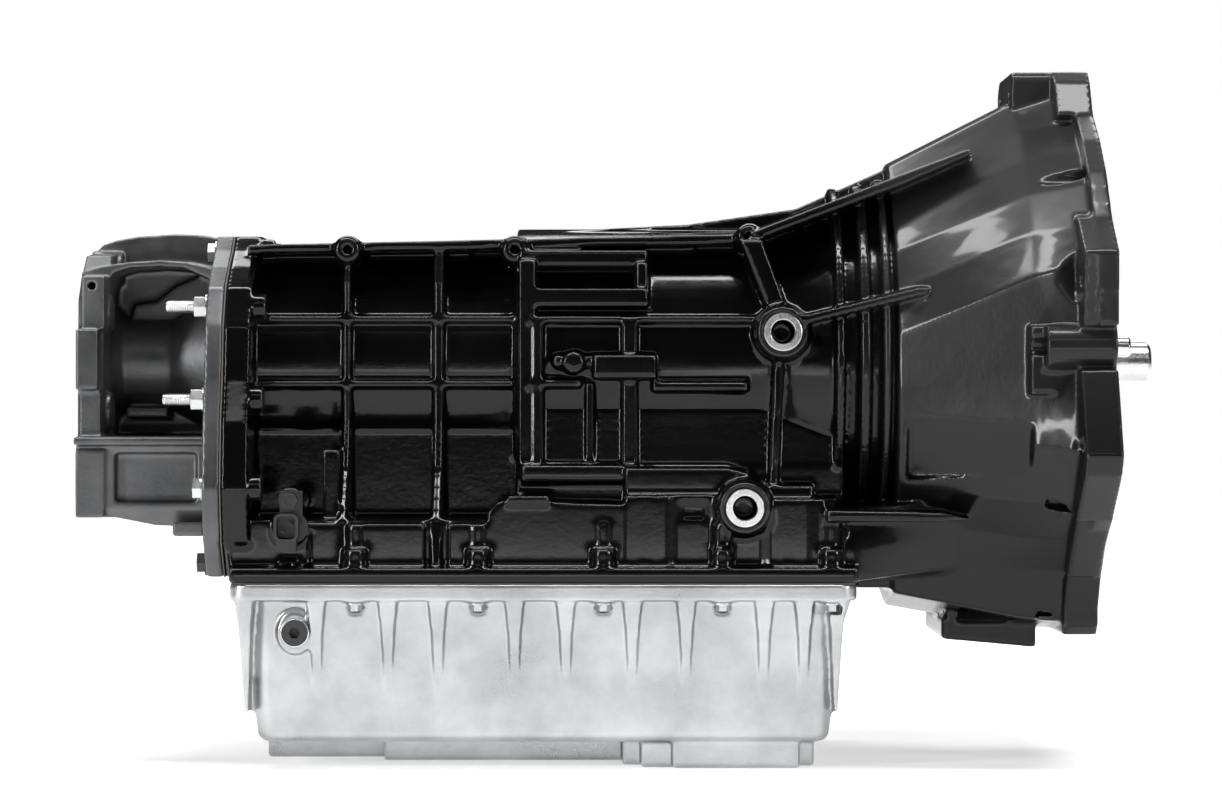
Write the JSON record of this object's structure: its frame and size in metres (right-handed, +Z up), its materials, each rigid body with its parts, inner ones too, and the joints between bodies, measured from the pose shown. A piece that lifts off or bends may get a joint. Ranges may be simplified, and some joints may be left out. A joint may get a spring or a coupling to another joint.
{
  "type": "automatic transmission",
  "caption": "Longitudinal automatic transmission: ribbed case with bell housing, deep oil pan on feet, rear adapter, working planetary, pump, selector and park parts.",
  "frame": {"origin": "on the shaft axis in the plane of the engine mounting face of the bell", "axes": "+X along the shaft towards the engine, +Z up, -Y is the side with the cooler ports"},
  "size_m": [0.887, 0.524, 0.567],
  "materials": {
    "case_paint": "satin black paint on cast metal",
    "adapter_cast": "rough cast, darkened",
    "pan_cast": "rough bright cast",
    "bright_steel": "machined",
    "zinc": "zinc plated",
    "black_steel": "black oxide",
    "gear_steel": "ground and hardened",
    "gasket": "pressed fibre",
    "seal_rubber": "matt",
    "plastic": "moulded",
    "filter_plastic": "moulded",
    "bronze": "bushing bronze",
    "pump_iron": "machined cast iron",
    "valve_alloy": "machined cast",
    "friction": "wet friction lining"
  },
  "bodies": {
    "case": {"adapter_bolts": "zinc", "adapter_gasket": "gasket", "adapter_lower_bolts": "black_steel", "adapter_nuts": "zinc", "adapter_studs": "zinc", "centre_support": "pump_iron", "converter_seal": "seal_rubber", "dowel_pins": "bright_steel", "main_case": "case_paint", "oil_filter": "filter_plastic", "oil_pan": "pan_cast", "output_bushings": "bronze", "output_seal": "seal_rubber", "pan_bolts": "zinc", "pan_gasket": "gasket", "pan_magnet": "pump_iron", "pan_plug_washer": "bright_steel", "pan_side_plug": "black_steel", "pawl_pin": "bright_steel", "port_sleeves": "bright_steel", "pressure_plug": "black_steel", "pump_body": "pump_iron", "pump_bolts": "black_steel", "pump_cover": "pump_iron", "rear_adapter": "adapter_cast", "ring_gear": "gear_steel", "selector_seal": "seal_rubber", "separator_plate": "bright_steel", "solenoid_connector": "plastic", "solenoid_pack": "plastic", "speed_sensor": "plastic", "speed_sensor_bolt": "black_steel", "stator_support": "gear_steel", "support_bushing": "bronze", "valve_body": "valve_alloy"},
    "input": {"input_shaft": "bright_steel", "clutch_drum": "gear_steel", "clutch_piston": "valve_alloy", "steel_plates": "bright_steel", "friction_plates": "friction", "clutch_hub": "gear_steel", "clutch_snap_ring": "black_steel", "sun_gear": "gear_steel"},
    "carrier": {"planet_carrier": "gear_steel", "planet_pins": "bright_steel", "output_shaft": "gear_steel", "park_gear": "gear_steel"},
    "planet_1": {"planet_gear_1": "gear_steel"},
    "planet_2": {"planet_gear_2": "gear_steel"},
    "planet_3": {"planet_gear_3": "gear_steel"},
    "planet_4": {"planet_gear_4": "gear_steel"},
    "pump_outer": {"pump_driven_gear": "gear_steel"},
    "pump_inner": {"pump_drive_gear": "gear_steel"},
    "selector": {"manual_shaft": "bright_steel", "shift_lever": "zinc", "lever_nut": "zinc", "detent_plate": "zinc"},
    "valve": {"manual_valve": "bright_steel"},
    "rod": {"park_rod": "zinc"},
    "pawl": {"park_pawl": "gear_steel"}
  },
  "joints": [
    {"name": "input_spin", "type": "hinge", "parent": "case", "child": "input", "pos_m": [0, 0, 0], "axis": [1, 0, 0], "continuous": true},
    {"name": "output_spin", "type": "hinge", "parent": "case", "child": "carrier", "pos_m": [-0.7, 0, 0], "axis": [1, 0, 0], "continuous": true},
    {"name": "planet_1_spin", "type": "hinge", "parent": "carrier", "child": "planet_1", "pos_m": [-0.547, 0.0525, 0], "axis": [1, 0, 0], "continuous": true},
    {"name": "planet_2_spin", "type": "hinge", "parent": "carrier", "child": "planet_2", "pos_m": [-0.547, 0, 0.0525], "axis": [1, 0, 0], "continuous": true},
    {"name": "planet_3_spin", "type": "hinge", "parent": "carrier", "child": "planet_3", "pos_m": [-0.547, -0.0525, 0], "axis": [1, 0, 0], "continuous": true},
    {"name": "planet_4_spin", "type": "hinge", "parent": "carrier", "child": "planet_4", "pos_m": [-0.547, 0, -0.0525], "axis": [1, 0, 0], "continuous": true},
    {"name": "pump_outer_spin", "type": "hinge", "parent": "case", "child": "pump_outer", "pos_m": [-0.171, 0, 0.01575], "axis": [1, 0, 0], "continuous": true},
    {"name": "pump_inner_spin", "type": "hinge", "parent": "case", "child": "pump_inner", "pos_m": [-0.171, 0, 0], "axis": [1, 0, 0], "continuous": true},
    {"name": "selector_turn", "type": "hinge", "parent": "case", "child": "selector", "pos_m": [-0.43, 0.1, -0.088], "axis": [0, 1, 0], "range_deg": [-25, 33]},
    {"name": "manual_valve_slide", "type": "slide", "parent": "case", "child": "valve", "axis": [1, 0, 0], "range_m": [-0.0265, 0.02]},
    {"name": "park_rod_slide", "type": "slide", "parent": "case", "child": "rod", "axis": [1, 0, 0], "range_m": [-0.0142, 0.0108]},
    {"name": "park_pawl_turn", "type": "hinge", "parent": "case", "child": "pawl", "pos_m": [-0.605, 0.052, -0.052], "axis": [1, 0, 0], "range_deg": [-8.2, 6.3]}
  ],
  "couplings": [
    {"joint": "output_spin", "follows": "input_spin", "ratio": 0.30952},
    {"joint": "planet_1_spin", "follows": "input_spin", "ratio": -1.122},
    {"joint": "planet_2_spin", "follows": "input_spin", "ratio": -1.122},
    {"joint": "planet_3_spin", "follows": "input_spin", "ratio": -1.122},
    {"joint": "planet_4_spin", "follows": "input_spin", "ratio": -1.122},
    {"joint": "pump_inner_spin", "follows": "pump_outer_spin", "ratio": 1.5},
    {"joint": "manual_valve_slide", "follows": "selector_turn", "m_per_rad": -0.045},
    {"joint": "park_rod_slide", "follows": "selector_turn", "m_per_rad": -0.024},
    {"joint": "park_pawl_turn", "follows": "selector_turn", "ratio": -0.2424}
  ]
}
